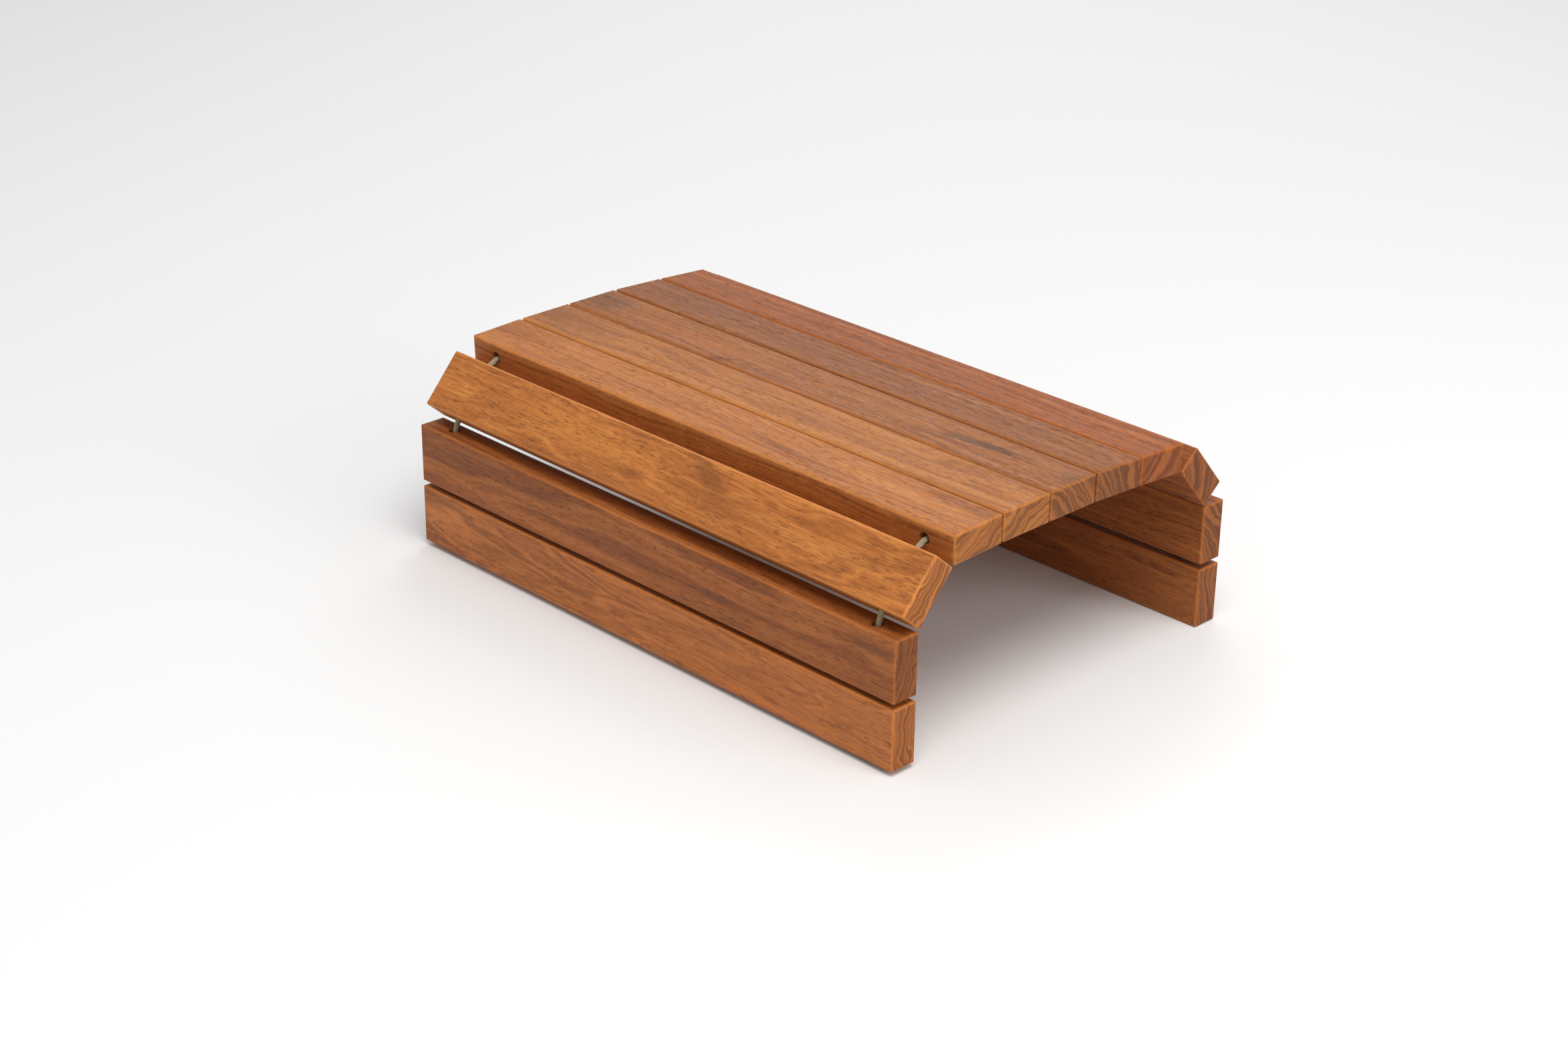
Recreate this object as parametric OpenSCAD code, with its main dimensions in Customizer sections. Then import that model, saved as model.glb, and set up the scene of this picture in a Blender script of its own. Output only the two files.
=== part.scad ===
// Drape-over slatted tray.
// Eleven solid hardwood slats are strung side by side on two cords, one near
// each end of the slats. Five slats make the flat top, and each side has one
// sloping shoulder slat and two hanging slats.
// Frame: X along the slats, +Y from the near side to the far side, +Z up.
// Origin: centre of the underside of the centre top slat.
// Millimetres.

/* [Slats] */
// Length of every slat
slat_l = 400; // [300:5:500]
// Width of every slat, measured across the grain
slat_w = 37.5; // [34:0.5:44]
// Thickness of every slat
slat_t = 18; // [16:0.5:20]
// Radius of the eased edges
edge_r = 1.8; // [1:0.1:3]

/* [Cord and holes] */
// Diameter of the cross-drilled cord holes
hole_d = 6.5; // [6.2:0.1:7.2]
// Distance from a slat's end to the axis of its cord hole
hole_inset = 22; // [18:1:60]
// Width of the chamfer around each hole mouth
mouth = 0.6; // [0.3:0.1:0.8]
// Diameter of the cord
cord_d = 3.5; // [3:0.1:3.5]
// How far the tight cord is drawn towards the inner rim of a hole mouth
rim_drop = 1.2; // [1:0.1:1.2]
// Diameter of the stopper knots
knot_d = 9.6; // [9:0.1:10]
// Length of the stopper knots
knot_l = 6.4; // [6:0.1:7]
// Diameter of the recess that holds a knot
recess_d = 11.6; // [11:0.1:12]
// Depth of the recess that holds a knot
recess_l = 9.5; // [9:0.5:11]

/* [Joints] */
// Gap between neighbouring slats when the tray lies flat
gap = 0.7; // [0.6:0.1:1.2]
// Gap between the two hanging slats of a side
side_gap = 3; // [2.6:0.1:3.2]

/* [Resting slopes] */
// Slope of the near inner top slat
near_slope_1 = 0.4; // [0.2:0.1:1]
// Slope of the near outer top slat
near_slope_2 = 2.2; // [1.8:0.1:3]
// Slope of the near shoulder slat
near_slope_3 = 49; // [46:1:52]
// Slope of the near hanging slats
near_slope_4 = 90; // [88:1:92]
// Slope of the far inner top slat
far_slope_1 = 2.9; // [2:0.1:3]
// Slope of the far outer top slat
far_slope_2 = 3.7; // [3.4:0.1:4.5]
// Slope of the far shoulder slat
far_slope_3 = 49; // [46:1:52]
// Slope of the far hanging slats
far_slope_4 = 90; // [88:1:92]

/* [Hidden] */
$fn = 64;

near = -1;
far = 1;
left = -1;
right = 1;
hole_x = slat_l / 2 - hole_inset;
// straight length of cord at the middle of a slat, and how steeply it then dips to the rim
lead = 3;
dip = atan(rim_drop / (slat_w / 2 - lead));
// rounding of a knot
knot_r = 1.4;

// slope of slat k of a side, where slat 0 is the centre top slat
near_slopes = [0, near_slope_1, near_slope_2, near_slope_3, near_slope_4, near_slope_4];
far_slopes = [0, far_slope_1, far_slope_2, far_slope_3, far_slope_4, far_slope_4];
function slope(side, k) = side == near ? near_slopes[k] : far_slopes[k];
// how far joint k folds at rest, and the gap at joint k, where joint k holds slat k
function fold(side, k) = slope(side, k) - slope(side, k - 1);
function gap_at(k) = k == 0 ? 0 : k > 5 ? 0 : k == 5 ? side_gap : gap;
// joint k on the inner faces' line, as [distance out from the centre, height]
function joint(side, k) = k == 1
  ? [slat_w / 2 + gap / 2, 0]
  : joint(side, k - 1) + (gap_at(k - 1) / 2 + slat_w + gap_at(k) / 2) * [cos(slope(side, k - 1)), -sin(slope(side, k - 1))];

// puts its children, drawn around the middle of a slat's inner face, in slat k's place
module place(side, k) {
  if (k == 0) children();
  else translate([0, side * joint(side, k)[0], joint(side, k)[1]])
    rotate([-side * slope(side, k), 0, 0])
      translate([0, side * (gap_at(k) / 2 + slat_w / 2), 0]) children();
}

// a rectangle with round corners
module rounded(a, b, r) {
  square([a - 2 * r, b], center = true);
  square([a, b - 2 * r], center = true);
  for (x = [-1, 1], y = [-1, 1])
    translate([x * (a / 2 - r), y * (b / 2 - r)]) circle(r = r);
}

// the blank with all its edges eased
module blank() {
  translate([0, 0, slat_t / 2]) intersection() {
    linear_extrude(slat_t + 2, center = true) rounded(slat_l, slat_w, edge_r);
    rotate([90, 0, 0]) linear_extrude(slat_w + 2, center = true) rounded(slat_l, slat_t, edge_r);
    rotate([90, 0, 90]) linear_extrude(slat_l + 2, center = true) rounded(slat_w, slat_t, edge_r);
  }
}

// one cross-drilled hole with its two chamfered mouths
module hole() {
  rotate([90, 0, 0]) {
    cylinder(h = slat_w + 2, d = hole_d, center = true);
    for (m = [0, 1]) mirror([0, 0, m])
      translate([0, 0, slat_w / 2 - mouth])
        cylinder(h = mouth + 1, d1 = hole_d, d2 = hole_d + 2 * (mouth + 1));
  }
}

// a slat with its two cord holes
module slat() {
  difference() {
    blank();
    for (e = [left, right]) translate([e * hole_x, 0, slat_t / 2]) hole();
  }
}

// a lowest slat, with a recess for each stopper knot in its outer edge
module end_slat(side) {
  difference() {
    slat();
    for (e = [left, right])
      translate([e * hole_x, side * (slat_w / 2 - recess_l), slat_t / 2])
        rotate([-side * 90, 0, 0]) cylinder(h = recess_l + 1, d = recess_d);
  }
}

// lays its children, drawn along +Z and bending towards +Y, in slat k's hole,
// from the middle of the slat outwards and bending towards its inner face
module in_hole(side, k, end) {
  place(side, k) translate([end * hole_x, 0, slat_t / 2])
    rotate([0, 0, side == near ? 180 : 0]) rotate([-90, 0, 0]) children();
}

// an arc of the cord
module arc(r, angle) {
  translate([0, r, 0]) rotate([90, 0, -90])
    rotate_extrude(angle = angle) translate([r, 0]) circle(d = cord_d);
}

// a run of the cord: straight lengths with a turn after each but the last,
// each length reaching past its turns so that the outside of a turn is closed
module run(lengths, turns, i = 0) {
  before = i == 0 ? 0 : cord_d / 2 * tan(turns[i - 1] / 2) + 0.05;
  after = i == len(turns) ? 0 : cord_d / 2 * tan(turns[i] / 2) + 0.05;
  translate([0, 0, -before]) cylinder(h = before + lengths[i] + after, d = cord_d);
  if (i < len(turns)) translate([0, 0, lengths[i]])
    rotate([-turns[i], 0, 0]) run(lengths, turns, i + 1);
}

// the cord from the middle of slat k - 1 to the middle of slat k
module cord_run(side, k, end) {
  f = fold(side, k);
  in_hole(side, k - 1, end)
    if (f < 0.05)
      cylinder(h = slat_w + gap_at(k), d = cord_d);
    else if (f < 20) {
      to_turn = slat_w / 2 + gap_at(k) / 2 + slat_t / 2 * tan(f / 2);
      arc(to_turn / tan(f / 2), f);
    } else {
      slant = (slat_w / 2 - lead) / cos(dip);
      across = 2 * ((slat_t / 2 - rim_drop) * sin(f / 2) + gap_at(k) / 2 * cos(f / 2));
      run([lead, slant, across, slant, lead], [dip, f / 2 - dip, f / 2 - dip, dip]);
    }
}

// the cord from the middle of a lowest slat to its knot
module cord_end(side, end) {
  in_hole(side, 5, end) cylinder(h = slat_w / 2 - recess_l, d = cord_d);
}

// the stopper knot, seated on the floor of its recess, with its short tail
module knot(side, end) {
  in_hole(side, 5, end) translate([0, 0, slat_w / 2 - recess_l]) {
    rotate_extrude() {
      square([knot_d / 2 - knot_r, knot_l]);
      translate([0, knot_r]) square([knot_d / 2, knot_l - 2 * knot_r]);
      for (z = [knot_r, knot_l - knot_r])
        translate([knot_d / 2 - knot_r, z]) circle(r = knot_r);
    }
    cylinder(h = knot_l + 2.2, d = cord_d);
  }
}

wood_top = [0.70, 0.46, 0.27];
wood_top_dark = [0.58, 0.40, 0.26];
wood_red = [0.64, 0.38, 0.22];
wood_side = [0.55, 0.33, 0.18];
ecru = [0.86, 0.81, 0.71];

module top_slat_centre() color(wood_top_dark) place(near, 0) slat();
module top_slat_near_inner() color(wood_top) place(near, 1) slat();
module top_slat_near_outer() color(wood_top) place(near, 2) slat();
module shoulder_slat_near() color(wood_top) place(near, 3) slat();
module side_slat_near_upper() color(wood_side) place(near, 4) slat();
module side_slat_near_lower() color(wood_side) place(near, 5) end_slat(near);
module top_slat_far_inner() color(wood_red) place(far, 1) slat();
module top_slat_far_outer() color(wood_red) place(far, 2) slat();
module shoulder_slat_far() color(wood_red) place(far, 3) slat();
module side_slat_far_upper() color(wood_side) place(far, 4) slat();
module side_slat_far_lower() color(wood_side) place(far, 5) end_slat(far);

module cord_left_near_1() color(ecru) cord_run(near, 1, left);
module cord_left_near_2() color(ecru) cord_run(near, 2, left);
module cord_left_near_3() color(ecru) cord_run(near, 3, left);
module cord_left_near_4() color(ecru) cord_run(near, 4, left);
module cord_left_near_5() color(ecru) cord_run(near, 5, left);
module cord_left_near_end() color(ecru) cord_end(near, left);
module cord_left_near_knot() color(ecru) knot(near, left);
module cord_left_far_1() color(ecru) cord_run(far, 1, left);
module cord_left_far_2() color(ecru) cord_run(far, 2, left);
module cord_left_far_3() color(ecru) cord_run(far, 3, left);
module cord_left_far_4() color(ecru) cord_run(far, 4, left);
module cord_left_far_5() color(ecru) cord_run(far, 5, left);
module cord_left_far_end() color(ecru) cord_end(far, left);
module cord_left_far_knot() color(ecru) knot(far, left);
module cord_right_near_1() color(ecru) cord_run(near, 1, right);
module cord_right_near_2() color(ecru) cord_run(near, 2, right);
module cord_right_near_3() color(ecru) cord_run(near, 3, right);
module cord_right_near_4() color(ecru) cord_run(near, 4, right);
module cord_right_near_5() color(ecru) cord_run(near, 5, right);
module cord_right_near_end() color(ecru) cord_end(near, right);
module cord_right_near_knot() color(ecru) knot(near, right);
module cord_right_far_1() color(ecru) cord_run(far, 1, right);
module cord_right_far_2() color(ecru) cord_run(far, 2, right);
module cord_right_far_3() color(ecru) cord_run(far, 3, right);
module cord_right_far_4() color(ecru) cord_run(far, 4, right);
module cord_right_far_5() color(ecru) cord_run(far, 5, right);
module cord_right_far_end() color(ecru) cord_end(far, right);
module cord_right_far_knot() color(ecru) knot(far, right);

top_slat_centre();
top_slat_near_inner();
top_slat_near_outer();
shoulder_slat_near();
side_slat_near_upper();
side_slat_near_lower();
top_slat_far_inner();
top_slat_far_outer();
shoulder_slat_far();
side_slat_far_upper();
side_slat_far_lower();
cord_left_near_1();
cord_left_near_2();
cord_left_near_3();
cord_left_near_4();
cord_left_near_5();
cord_left_near_end();
cord_left_near_knot();
cord_left_far_1();
cord_left_far_2();
cord_left_far_3();
cord_left_far_4();
cord_left_far_5();
cord_left_far_end();
cord_left_far_knot();
cord_right_near_1();
cord_right_near_2();
cord_right_near_3();
cord_right_near_4();
cord_right_near_5();
cord_right_near_end();
cord_right_near_knot();
cord_right_far_1();
cord_right_far_2();
cord_right_far_3();
cord_right_far_4();
cord_right_far_5();
cord_right_far_end();
cord_right_far_knot();
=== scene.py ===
import math

import bpy
from mathutils import Vector, Matrix


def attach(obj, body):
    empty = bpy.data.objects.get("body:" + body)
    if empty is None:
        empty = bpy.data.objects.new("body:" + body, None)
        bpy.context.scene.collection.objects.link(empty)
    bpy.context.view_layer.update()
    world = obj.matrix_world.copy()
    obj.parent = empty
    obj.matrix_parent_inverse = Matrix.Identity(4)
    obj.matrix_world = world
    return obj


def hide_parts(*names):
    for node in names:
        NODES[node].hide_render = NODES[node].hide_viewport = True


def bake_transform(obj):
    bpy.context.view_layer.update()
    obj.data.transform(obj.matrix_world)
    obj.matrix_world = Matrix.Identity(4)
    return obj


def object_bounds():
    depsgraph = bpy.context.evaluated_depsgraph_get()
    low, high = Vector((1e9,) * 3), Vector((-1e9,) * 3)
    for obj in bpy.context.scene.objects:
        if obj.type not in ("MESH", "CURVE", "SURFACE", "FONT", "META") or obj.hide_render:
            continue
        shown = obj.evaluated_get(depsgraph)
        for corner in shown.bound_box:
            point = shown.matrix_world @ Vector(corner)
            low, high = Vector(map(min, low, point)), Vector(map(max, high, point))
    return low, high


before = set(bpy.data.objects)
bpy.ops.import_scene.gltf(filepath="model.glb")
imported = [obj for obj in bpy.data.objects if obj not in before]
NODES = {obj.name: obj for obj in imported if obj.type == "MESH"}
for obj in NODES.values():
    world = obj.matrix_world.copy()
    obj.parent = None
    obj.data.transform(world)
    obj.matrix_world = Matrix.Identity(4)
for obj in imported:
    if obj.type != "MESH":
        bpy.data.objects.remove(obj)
cad_lo, cad_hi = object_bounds()
scene = bpy.context.scene

# ---------------------------------------------------------------- the slats' places, as in part.scad
MM = 0.001
W, T, HALF = 37.5, 18.0, 200.0
SLOPES = {"near": [0, 0.4, 2.2, 49, 90, 90], "far": [0, 2.9, 3.7, 49, 90, 90]}
SIGN = {"near": -1, "far": 1}
HOLE_X, LEAD, RIM_DROP, RECESS = 178.0, 3.0, 1.2, 9.5
SLATS = {
    "top_slat_centre": ("near", 0), "top_slat_near_inner": ("near", 1), "top_slat_near_outer": ("near", 2),
    "shoulder_slat_near": ("near", 3), "side_slat_near_upper": ("near", 4), "side_slat_near_lower": ("near", 5),
    "top_slat_far_inner": ("far", 1), "top_slat_far_outer": ("far", 2), "shoulder_slat_far": ("far", 3),
    "side_slat_far_upper": ("far", 4), "side_slat_far_lower": ("far", 5),
}
BODY = {
    ("near", 0): "centre", ("far", 0): "centre", ("near", 1): "top_near_inner", ("near", 2): "top_near_outer",
    ("near", 3): "shoulder_near", ("near", 4): "side_near_upper", ("near", 5): "side_near_lower",
    ("far", 1): "top_far_inner", ("far", 2): "top_far_outer", ("far", 3): "shoulder_far",
    ("far", 4): "side_far_upper", ("far", 5): "side_far_lower",
}


def gap_at(k):
    return 0.0 if k == 0 or k > 5 else 3.0 if k == 5 else 0.7


def joint(side, k):
    if k == 1:
        return (W / 2 + 0.35, 0.0)
    d, z = joint(side, k - 1)
    a = math.radians(SLOPES[side][k - 1])
    step = gap_at(k - 1) / 2 + W + gap_at(k) / 2
    return (d + step * math.cos(a), z - step * math.sin(a))


def hole_middle(side, k):
    """Middle of slat k's cord hole as (distance out, height) and its slope in radians."""
    a = math.radians(SLOPES[side][k])
    if k == 0:
        return (0.0, T / 2), a
    d, z = joint(side, k)
    run = gap_at(k) / 2 + W / 2
    return (d + run * math.cos(a) + T / 2 * math.sin(a), z - run * math.sin(a) + T / 2 * math.cos(a)), a


# ---------------------------------------------------------------- node helpers
class Tree:
    def __init__(self, name):
        self.mat = bpy.data.materials.new(name)
        self.mat.use_nodes = True
        self.nt = self.mat.node_tree
        self.nt.nodes.clear()
        self.out = self.nt.nodes.new("ShaderNodeOutputMaterial")
        self.bsdf = self.nt.nodes.new("ShaderNodeBsdfPrincipled")
        self.nt.links.new(self.bsdf.outputs["BSDF"], self.out.inputs["Surface"])

    def put(self, socket, value):
        if isinstance(value, bpy.types.NodeSocket):
            self.nt.links.new(value, socket)
        else:
            socket.default_value = value

    def math(self, op, a, b=0.0, c=0.0, clamp=False):
        n = self.nt.nodes.new("ShaderNodeMath")
        n.operation = op
        n.use_clamp = clamp
        for i, v in enumerate((a, b, c)):
            self.put(n.inputs[i], v)
        return n.outputs[0]

    def vec(self, op, a, b=(0, 0, 0)):
        n = self.nt.nodes.new("ShaderNodeVectorMath")
        n.operation = op
        self.put(n.inputs[0], a)
        self.put(n.inputs[1], b)
        return n.outputs["Value"] if op == "LENGTH" else n.outputs["Vector"]

    def noise(self, vector, scale=1.0, detail=2.0, rough=0.5, distortion=0.0):
        n = self.nt.nodes.new("ShaderNodeTexNoise")
        self.put(n.inputs["Vector"], vector)
        n.inputs["Scale"].default_value = scale
        n.inputs["Detail"].default_value = detail
        n.inputs["Roughness"].default_value = rough
        n.inputs["Distortion"].default_value = distortion
        return n.outputs["Fac"]

    def noise1(self, w, scale=1.0, detail=2.0, rough=0.5):
        n = self.nt.nodes.new("ShaderNodeTexNoise")
        n.noise_dimensions = "1D"
        self.put(n.inputs["W"], w)
        n.inputs["Scale"].default_value = scale
        n.inputs["Detail"].default_value = detail
        n.inputs["Roughness"].default_value = rough
        return n.outputs["Fac"]

    def ramp(self, value, lo, hi, a=0.0, b=1.0):
        n = self.nt.nodes.new("ShaderNodeMapRange")
        n.interpolation_type = "SMOOTHSTEP"
        self.put(n.inputs["Value"], value)
        n.inputs["From Min"].default_value = lo
        n.inputs["From Max"].default_value = hi
        n.inputs["To Min"].default_value = a
        n.inputs["To Max"].default_value = b
        return n.outputs["Result"]

    def mix(self, fac, a, b, mode="MIX"):
        n = self.nt.nodes.new("ShaderNodeMix")
        n.data_type = "RGBA"
        n.blend_type = mode
        n.clamp_factor = True
        self.put(n.inputs[0], fac)
        self.put(n.inputs[6], a)
        self.put(n.inputs[7], b)
        return n.outputs[2]

    def bump(self, height, strength, distance):
        n = self.nt.nodes.new("ShaderNodeBump")
        n.inputs["Strength"].default_value = strength
        n.inputs["Distance"].default_value = distance
        self.put(n.inputs["Height"], height)
        return n.outputs["Normal"]


def srgb(r, g, b, k=1.0):
    def lin(c):
        c /= 255.0
        return (c / 12.92 if c <= 0.04045 else ((c + 0.055) / 1.055) ** 2.4) * k
    return (lin(r), lin(g), lin(b), 1.0)


plain = srgb

# ---------------------------------------------------------------- solid wood, sawn from its own log for each slat
# light, middle and dark tones, where the heart of the log lies (mm), seed, ring step (mm),
# and marks: (x, y, half length, half width, tilt, tone, strength)
GREY = (104, 72, 52)
DARK = (112, 62, 32)
PALE = (206, 146, 92)
ORANGE = (190, 118, 62)
LOOKS = {
    "top_slat_centre": dict(light=(184, 124, 80), mid=(163, 104, 65), dark=(132, 82, 50), pith=(-42, -30), seed=3.1, step=5.0,
        marks=[(128, 2.5, 40, 4.6, 0.11, GREY, 0.8), (140, 3.6, 22, 3.0, 0.11, (92, 66, 50), 0.6), (95, -8, 55, 2.2, 0.09, DARK, 0.4),
               (-190, 2, 26, 16, 0, GREY, 0.6), (196, 4, 14, 12, 0, GREY, 0.45), (-64, -14, 9, 4.0, 0.5, DARK, 0.6),
               (-30, -12, 40, 3.0, 0.05, DARK, 0.3), (-100, -3, 55, 8, 0.05, ORANGE, 0.35)]),
    "top_slat_near_inner": dict(light=(208, 146, 92), mid=(187, 124, 74), dark=(158, 99, 57), pith=(30, -60), seed=7.4, step=4.2,
        marks=[(-178, 2, 50, 17, 0, (150, 96, 66), 0.55), (40, -2, 60, 3, 0.02, (166, 106, 62), 0.4), (60, 14, 90, 2, 0, PALE, 0.45)]),
    "top_slat_near_outer": dict(light=(206, 142, 88), mid=(181, 118, 71), dark=(150, 92, 52), pith=(-26, 48), seed=11.9, step=3.6,
        marks=[(62, -4.5, 34, 4.0, -0.06, (132, 80, 46), 0.65), (185, 12, 45, 6, 0, (136, 82, 48), 0.6), (-190, 6, 40, 12, 0, (150, 94, 60), 0.5),
               (-90, 3, 70, 4, 0.02, PALE, 0.35), (120, 0, 60, 6, -0.02, PALE, 0.3)]),
    "shoulder_slat_near": dict(light=(204, 140, 84), mid=(177, 113, 66), dark=(142, 86, 48), pith=(-8, 90), seed=15.2, step=3.0,
        marks=[(34, 9, 20, 7, -0.3, (110, 70, 44), 0.6), (-22, -7, 16, 3.4, 0.1, (120, 72, 42), 0.6), (60, -2, 60, 12, -0.08, (150, 94, 58), 0.4),
               (-60, 2, 70, 12, 0, (204, 140, 78), 0.4), (140, -2, 55, 5, 0, PALE, 0.25), (0, -17, 200, 2.4, 0, (140, 86, 50), 0.4)]),
    # painted shade: the near side slats' darker light, middle and dark tones are the colours of their upright faces
    # turned away from the light
    "side_slat_near_upper": dict(light=(174, 110, 66), mid=(150, 90, 51), dark=(120, 68, 36), pith=(22, 52), seed=19.8, step=4.2,
        marks=[(-90, -11, 130, 4.6, -0.02, (186, 116, 66), 0.6), (62, -4, 24, 3.0, 0.02, (104, 66, 46), 0.6), (185, 9, 30, 4, 0, (100, 60, 36), 0.6),
               (120, -10, 60, 4, 0.02, (180, 112, 64), 0.4)]),
    "side_slat_near_lower": dict(light=(178, 114, 70), mid=(156, 98, 59), dark=(124, 74, 42), pith=(6, -120), seed=23.3, step=2.2,
        marks=[(-180, 4, 40, 10, 0, (176, 114, 76), 0.4), (-188, 15, 26, 4, 0, (104, 66, 44), 0.5), (100, -14, 90, 3, 0, (186, 116, 66), 0.4)]),
    "top_slat_far_inner": dict(light=(180, 120, 78), mid=(164, 103, 63), dark=(134, 80, 44), pith=(-60, -24), seed=27.5, step=4.4,
        marks=[(-150, 2, 70, 16, 0, (140, 92, 62), 0.4), (-55, 4, 40, 10, 0, (146, 92, 60), 0.35), (60, 12, 60, 3, 0, (196, 130, 76), 0.35)]),
    "top_slat_far_outer": dict(light=(184, 112, 62), mid=(162, 94, 50), dark=(134, 72, 34), pith=(-46, 36), seed=31.7, step=4.8,
        marks=[(-155, 1, 50, 9, 0, (146, 92, 60), 0.45), (40, 0, 60, 7, 0, (142, 90, 58), 0.35), (0, -15, 200, 3, 0, DARK, 0.35)]),
    "shoulder_slat_far": dict(light=(178, 112, 68), mid=(152, 92, 54), dark=(116, 66, 36), pith=(-20, -22), seed=35.1, step=4.0, marks=[]),
    "side_slat_far_upper": dict(light=(176, 112, 68), mid=(152, 92, 54), dark=(122, 70, 38), pith=(34, -44), seed=39.6, step=4.0,
        marks=[(-40, 5, 60, 4, 0.03, DARK, 0.4)]),
    "side_slat_far_lower": dict(light=(180, 116, 70), mid=(156, 96, 58), dark=(124, 72, 40), pith=(-12, 84), seed=43.9, step=3.4,
        marks=[(70, -6, 50, 4, -0.03, DARK, 0.4)]),
}


TONE = (0.98, 0.84, 0.53)
# per-slat brightness scale, partly each slat's own tone and partly painted light and shade: it brightens or darkens
# whole slats to how lit they show
GAIN = {
    "top_slat_centre": 0.93, "top_slat_near_inner": 0.86, "top_slat_near_outer": 0.97, "shoulder_slat_near": 1.12,
    "side_slat_near_upper": 1.02, "side_slat_near_lower": 1.32, "top_slat_far_inner": 0.80, "top_slat_far_outer": 0.93,
}


def wood(name, side, k, look):
    def srgb(r, g, b, gain=GAIN.get(name, 1.0)):
        c = plain(r, g, b)
        return (c[0] * TONE[0] * gain, c[1] * TONE[1] * gain, c[2] * TONE[2] * gain, 1.0)

    t = Tree("wood_" + name)
    (d, z), a = hole_middle(side, k)
    s = SIGN[side]
    coord = t.nt.nodes.new("ShaderNodeTexCoord")
    mapping = t.nt.nodes.new("ShaderNodeMapping")
    mapping.vector_type = "TEXTURE"
    mapping.inputs["Location"].default_value = (0, s * d * MM, z * MM)
    mapping.inputs["Rotation"].default_value = (-s * a, 0, 0)
    mapping.inputs["Scale"].default_value = (MM, MM, MM)
    t.nt.links.new(coord.outputs["Object"], mapping.inputs["Vector"])
    p = mapping.outputs["Vector"]                       # millimetres from the slat's middle
    sep = t.nt.nodes.new("ShaderNodeSeparateXYZ")
    t.nt.links.new(p, sep.inputs[0])
    x, y, zz = sep.outputs
    seed = look["seed"]
    moved = t.vec("ADD", p, (seed * 37.0, seed * 11.0, seed * 5.0))

    # growth rings around the heart of the log, bent by slow wander and a little taper along the slat
    wander = t.noise(t.vec("MULTIPLY", moved, (0.007, 0.05, 0.05)), 1.0, 2.0, 0.5)
    wander = t.math("MULTIPLY", t.math("SUBTRACT", wander, 0.5), 16.0)
    py, pz = look["pith"]
    ry = t.math("SUBTRACT", y, py)
    rz = t.math("SUBTRACT", zz, pz)
    r = t.math("SQRT", t.math("ADD", t.math("MULTIPLY", ry, ry), t.math("MULTIPLY", rz, rz)))
    r = t.math("ADD", t.math("ADD", r, wander), t.math("MULTIPLY", x, 0.012))
    rings = t.noise1(t.math("ADD", r, seed * 13.0), 1.0 / look["step"], 2.0, 0.6)
    rings = t.ramp(rings, 0.3, 0.72)
    fine = t.noise1(t.math("ADD", r, seed * 29.0), 2.6 / look["step"], 2.0, 0.6)

    # fibres, pores cut lengthwise and broad mottling
    fibre = t.noise(t.vec("MULTIPLY", moved, (0.035, 1.0, 1.0)), 1.0, 3.0, 0.62)
    pores = t.noise(t.vec("MULTIPLY", moved, (0.16, 1.15, 1.15)), 1.0, 2.0, 0.55, 0.25)
    pores = t.ramp(pores, 0.54, 0.68)
    crowd = t.ramp(t.noise(t.vec("MULTIPLY", moved, (0.012, 0.09, 0.09)), 1.0, 2.0), 0.32, 0.66, 0.45, 1.0)
    pores = t.math("MULTIPLY", pores, crowd)
    mottle = t.noise(t.vec("MULTIPLY", moved, (0.018, 0.07, 0.07)), 1.0, 4.0, 0.6)
    lustre = t.noise(t.vec("MULTIPLY", moved, (0.09, 0.22, 0.22)), 1.0, 2.0, 0.5, 0.6)

    tone = t.math("ADD", t.math("MULTIPLY", rings, 0.42), t.math("MULTIPLY", t.ramp(fibre, 0.3, 0.7), 0.36))
    tone = t.math("ADD", tone, t.math("MULTIPLY", t.ramp(fine, 0.3, 0.7), 0.22))
    colour = t.mix(t.ramp(tone, 0.1, 0.55), srgb(*look["dark"]), srgb(*look["mid"]))
    colour = t.mix(t.ramp(tone, 0.5, 0.95), colour, srgb(*look["light"]))
    colour = t.mix(t.ramp(mottle, 0.5, 0.78, 0.0, 0.45), colour, srgb(*look["dark"]))
    colour = t.mix(t.ramp(lustre, 0.52, 0.75, 0.0, 0.4), colour, srgb(*look["light"]))

    # marks that this slat alone has
    ragged = t.math("MULTIPLY", t.math("SUBTRACT", t.noise(t.vec("MULTIPLY", moved, (0.06, 0.4, 0.4)), 1.0, 3.0, 0.6), 0.5), 1.5)
    for mx, my, hl, hw, tilt, tint, strength in look["marks"]:
        dx = t.math("SUBTRACT", x, mx)
        dy = t.math("SUBTRACT", t.math("SUBTRACT", y, my), t.math("MULTIPLY", dx, tilt))
        ex = t.math("DIVIDE", dx, hl)
        ey = t.math("DIVIDE", dy, hw)
        away = t.math("SQRT", t.math("ADD", t.math("MULTIPLY", ex, ex), t.math("MULTIPLY", ey, ey)))
        away = t.math("ADD", away, ragged)
        colour = t.mix(t.ramp(away, 0.25, 1.25, strength, 0.0), colour, srgb(*tint))
    colour = t.mix(t.math("MULTIPLY", pores, 0.62), colour, srgb(*[c * 0.62 for c in look["dark"]]))

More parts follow.
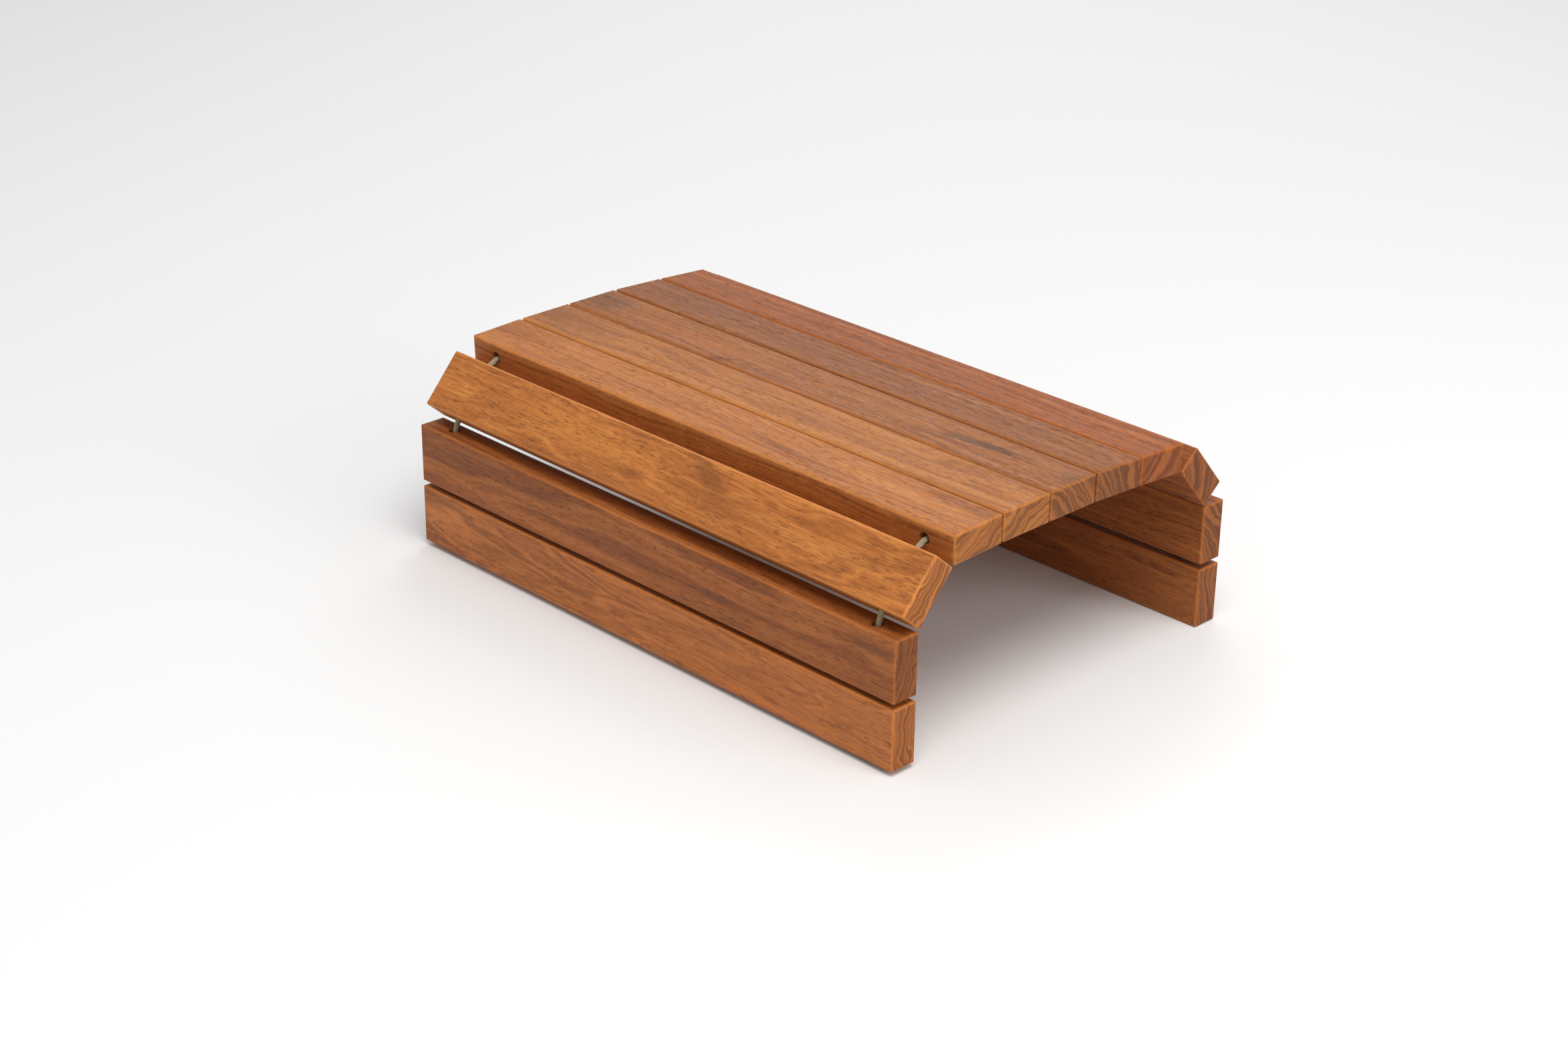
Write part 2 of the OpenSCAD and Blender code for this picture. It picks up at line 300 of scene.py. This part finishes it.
    # end grain, and edges worn a little paler
    ax = t.math("SUBTRACT", HALF, t.math("ABSOLUTE", x))
    ay = t.math("SUBTRACT", W / 2, t.math("ABSOLUTE", y))
    az = t.math("SUBTRACT", T / 2, t.math("ABSOLUTE", zz))
    end = t.ramp(ax, 0.15, 1.1, 1.0, 0.0)
    speck = t.noise(t.vec("MULTIPLY", moved, (0.5, 1.9, 1.9)), 1.0, 3.0, 0.6)
    grain_end = t.mix(t.ramp(rings, 0.15, 0.85), srgb(*[c * 0.80 for c in look["dark"]]), srgb(*[c * 0.97 for c in look["mid"]]))
    grain_end = t.mix(t.ramp(speck, 0.52, 0.7, 0.0, 0.5), grain_end, srgb(*[c * 0.66 for c in look["dark"]]))
    colour = t.mix(t.math("MULTIPLY", end, 0.72), colour, grain_end)
    low = t.math("MINIMUM", ay, az)
    second = t.math("MAXIMUM", low, t.math("MINIMUM", t.math("MAXIMUM", ay, az), ax))
    worn = t.ramp(t.math("ADD", second, t.math("MULTIPLY", t.math("SUBTRACT", fibre, 0.5), 1.6)), 0.2, 1.7, 1.0, 0.0)
    colour = t.mix(t.math("MULTIPLY", worn, 0.42), colour, srgb(*[min(255, c * 1.14) for c in look["light"]]))
    t.put(t.bsdf.inputs["Base Color"], colour)

    rough = t.math("ADD", t.ramp(lustre, 0.3, 0.7, 0.46, 0.60), t.math("MULTIPLY", pores, 0.14))
    rough = t.math("ADD", rough, t.math("MULTIPLY", end, 0.12), clamp=True)
    t.put(t.bsdf.inputs["Roughness"], rough)
    t.bsdf.inputs["Specular IOR Level"].default_value = 0.28
    height = t.math("SUBTRACT", t.math("MULTIPLY", fibre, 0.6), t.math("MULTIPLY", pores, 0.9))
    height = t.math("ADD", height, t.math("MULTIPLY", rings, 0.25))
    t.put(t.bsdf.inputs["Normal"], t.bump(height, 0.55, 0.00022))
    return t.mat


for name, (side, k) in SLATS.items():
    o = NODES[name]
    mat = wood(name, side, k, LOOKS[name])
    if not o.material_slots:
        o.data.materials.append(mat)
    for ms in o.material_slots:
        ms.material = mat


# ---------------------------------------------------------------- cord: three laid strands
def cord_material():
    t = Tree("laid_cord")
    coord = t.nt.nodes.new("ShaderNodeTexCoord")
    p = t.vec("MULTIPLY", coord.outputs["Object"], (1000, 1000, 1000))
    fibre = t.noise(p, 3.2, 4.0, 0.65)
    soil = t.noise(p, 0.12, 3.0, 0.6)
    colour = t.mix(t.ramp(fibre, 0.3, 0.7), srgb(128, 112, 88), srgb(190, 176, 148))
    colour = t.mix(t.ramp(soil, 0.5, 0.75, 0.0, 0.5), colour, srgb(104, 86, 62))
    t.put(t.bsdf.inputs["Base Color"], colour)
    t.put(t.bsdf.inputs["Roughness"], t.ramp(fibre, 0.2, 0.8, 0.78, 0.95))
    t.put(t.bsdf.inputs["Normal"], t.bump(fibre, 0.6, 0.00025))
    return t.mat


CORD = cord_material()
R = 1.72


def laid_tube(name, points, closed=False, radius=R, phase=0.0):
    """A tube of three laid strands along points in millimetres."""
    pts = [Vector(p) for p in points]
    n = len(pts)
    seg = 24
    verts, faces = [], []
    tangents = []
    for i in range(n):
        a = pts[(i - 1) % n] if closed or i > 0 else pts[i]
        b = pts[(i + 1) % n] if closed or i < n - 1 else pts[i]
        tangents.append((b - a).normalized())
    normal = tangents[0].orthogonal().normalized()
    travelled = 0.0
    for i in range(n):
        normal = (normal - tangents[i] * normal.dot(tangents[i])).normalized()
        other = tangents[i].cross(normal)
        if i:
            travelled += (pts[i] - pts[i - 1]).length
        for j in range(seg):
            ang = 2 * math.pi * j / seg
            lay = 1.5 * (ang - 2 * math.pi * travelled / 11.0) + phase
            rr = radius * (0.80 + 0.20 * abs(math.cos(lay)) ** 0.6)
            v = pts[i] + (normal * math.cos(ang) + other * math.sin(ang)) * rr
            verts.append(v * MM)
    rings = n if closed else n - 1
    for i in range(rings):
        for j in range(seg):
            a = i * seg + j
            b = i * seg + (j + 1) % seg
            c = ((i + 1) % n) * seg + (j + 1) % seg
            d = ((i + 1) % n) * seg + j
            faces.append((a, b, c, d))
    if not closed:
        faces.append(tuple(reversed(range(seg))))
        faces.append(tuple((n - 1) * seg + j for j in range(seg)))
    me = bpy.data.meshes.new(name)
    me.from_pydata([tuple(v) for v in verts], [], faces)
    for f in me.polygons:
        f.use_smooth = len(f.vertices) == 4
    me.validate()
    o = bpy.data.objects.new(name, me)
    scene.collection.objects.link(o)
    me.materials.append(CORD)
    return o


def run_path(side, k):
    """The cord from the middle of slat k - 1 to the middle of slat k as (distance out, height)."""
    (d, z), a = hole_middle(side, k - 1)
    f = math.radians(SLOPES[side][k] - SLOPES[side][k - 1])
    out = [(d, z)]
    head = a

    def go(length, turn=0.0):
        nonlocal d, z, head
        steps = max(2, int(length / 0.6))
        for _ in range(steps):
            head += turn / steps / 2
            d += length / steps * math.cos(head)
            z -= length / steps * math.sin(head)
            head += turn / steps / 2
            out.append((d, z))

    g = gap_at(k)
    if f < 0.001:
        go(W + g)
    elif f < math.radians(20):
        to_turn = W / 2 + g / 2 + T / 2 * math.tan(f / 2)
        go(to_turn / math.tan(f / 2) * f, f)
    else:
        dip = math.atan(RIM_DROP / (W / 2 - LEAD))
        slant = (W / 2 - LEAD) / math.cos(dip)
        across = 2 * ((T / 2 - RIM_DROP) * math.sin(f / 2) + g / 2 * math.cos(f / 2))
        go(LEAD)
        head += dip
        go(slant)
        head += f / 2 - dip
        go(across)
        head += f / 2 - dip
        go(slant)
        head += dip
        go(LEAD)
        for _ in range(3):
            out[:] = [out[0]] + [((out[i - 1][0] + 2 * out[i][0] + out[i + 1][0]) / 4,
                                  (out[i - 1][1] + 2 * out[i][1] + out[i + 1][1]) / 4)
                                 for i in range(1, len(out) - 1)] + [out[-1]]
    return out


def along(path, s):
    for i in range(1, len(path)):
        step = math.dist(path[i - 1], path[i])
        if s <= step:
            w = s / step
            return tuple(path[i - 1][c] + (path[i][c] - path[i - 1][c]) * w for c in (0, 1))
        s -= step
    return path[-1]


for end, ex in (("left", -1), ("right", 1)):
    for side in ("near", "far"):
        s = SIGN[side]
        for k in range(1, 6):
            path = run_path(side, k)
            total = sum(math.dist(path[i - 1], path[i]) for i in range(1, len(path)))
            o = laid_tube(f"rope_{end}_{side}_{k}", [(ex * HOLE_X, s * d, z) for d, z in path])
            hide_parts(f"cord_{end}_{side}_{k}")
            a = along(path, W / 2 - 2.5)
            b = along(path, total - W / 2 + 2.5)
            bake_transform(o)
        # straight end of the cord, its overhand knot and its short tail
        (d, z), a = hole_middle(side, 5)
        step = Vector((0, s * math.cos(a), -math.sin(a)))
        across = Vector((1, 0, 0))
        third = step.cross(across)
        c = Vector((ex * HOLE_X, s * d, z))
        floor_at = W / 2 - RECESS
        o = laid_tube(f"rope_{end}_{side}_end", [c + step * (floor_at + 8.6) * i / 60 for i in range(61)])
        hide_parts(f"cord_{end}_{side}_end")
        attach(o, BODY[(side, 5)])
        pts = []
        for i in range(180):
            q = 2 * math.pi * i / 180
            u = (math.sin(q) + 2 * math.sin(2 * q)) * 1.02
            v = (math.cos(q) - 2 * math.cos(2 * q)) * 1.02
            h = -math.sin(3 * q) * 1.5 + 3.2
            pts.append(c + step * (floor_at + h) + across * u + third * v)
        o = laid_tube(f"rope_{end}_{side}_knot", pts, closed=True, radius=1.62)
        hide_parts(f"cord_{end}_{side}_knot")
        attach(o, BODY[(side, 5)])

# ---------------------------------------------------------------- floor, light and camera
low = cad_lo[2]
me = bpy.data.meshes.new("floor")
me.from_pydata([(-9, -9, low), (9, -9, low), (9, 9, low), (-9, 9, low)], [], [(0, 1, 2, 3)])
floor = bpy.data.objects.new("floor", me)
scene.collection.objects.link(floor)
ft = Tree("studio_floor")
ft.bsdf.inputs["Base Color"].default_value = (0.86, 0.86, 0.86, 1)
ft.bsdf.inputs["Roughness"].default_value = 0.9
me.materials.append(ft.mat)

world = bpy.data.worlds.new("studio")
scene.world = world
world.use_nodes = True
bg = world.node_tree.nodes["Background"]
bg.inputs[0].default_value = (0.97, 0.985, 1.0, 1)
bg.inputs[1].default_value = 0.55


def area(name, where, size, power, colour=(1, 1, 1)):
    light = bpy.data.lights.new(name, "AREA")
    light.shape = "DISK"
    light.size = size
    light.energy = power
    light.color = colour
    o = bpy.data.objects.new(name, light)
    o.location = where
    o.rotation_euler = (Vector((0, 0, 0)) - Vector(where)).to_track_quat("-Z", "Y").to_euler()
    scene.collection.objects.link(o)


area("key", (0.9, -0.5, 2.1), 1.5, 34, (1.0, 0.985, 0.96))
area("fill", (1.9, 0.4, 0.9), 1.2, 9)
area("back", (-1.2, 1.5, 1.4), 1.4, 9)

cam = bpy.data.cameras.new("camera")
cam.sensor_fit = "HORIZONTAL"
cam.sensor_width = 36.0
cam.lens = 63.70
cam.clip_start = 0.01
cam.clip_end = 50
camera = bpy.data.objects.new("camera", cam)
scene.collection.objects.link(camera)
right = Vector((0.69912, 0.7149, 0.01261)).normalized()
view = Vector((-0.64643, 0.6395, -0.41614)).normalized()
right = (right - view * right.dot(view)).normalized()
up = right.cross(view)
camera.matrix_world = Matrix((
    (right.x, up.x, -view.x, 1.06693),
    (right.y, up.y, -view.y, -1.07866),
    (right.z, up.z, -view.z, 0.62112),
    (0, 0, 0, 1)))
scene.camera = camera
scene.view_settings.view_transform = "Standard"
scene.view_settings.look = "None"
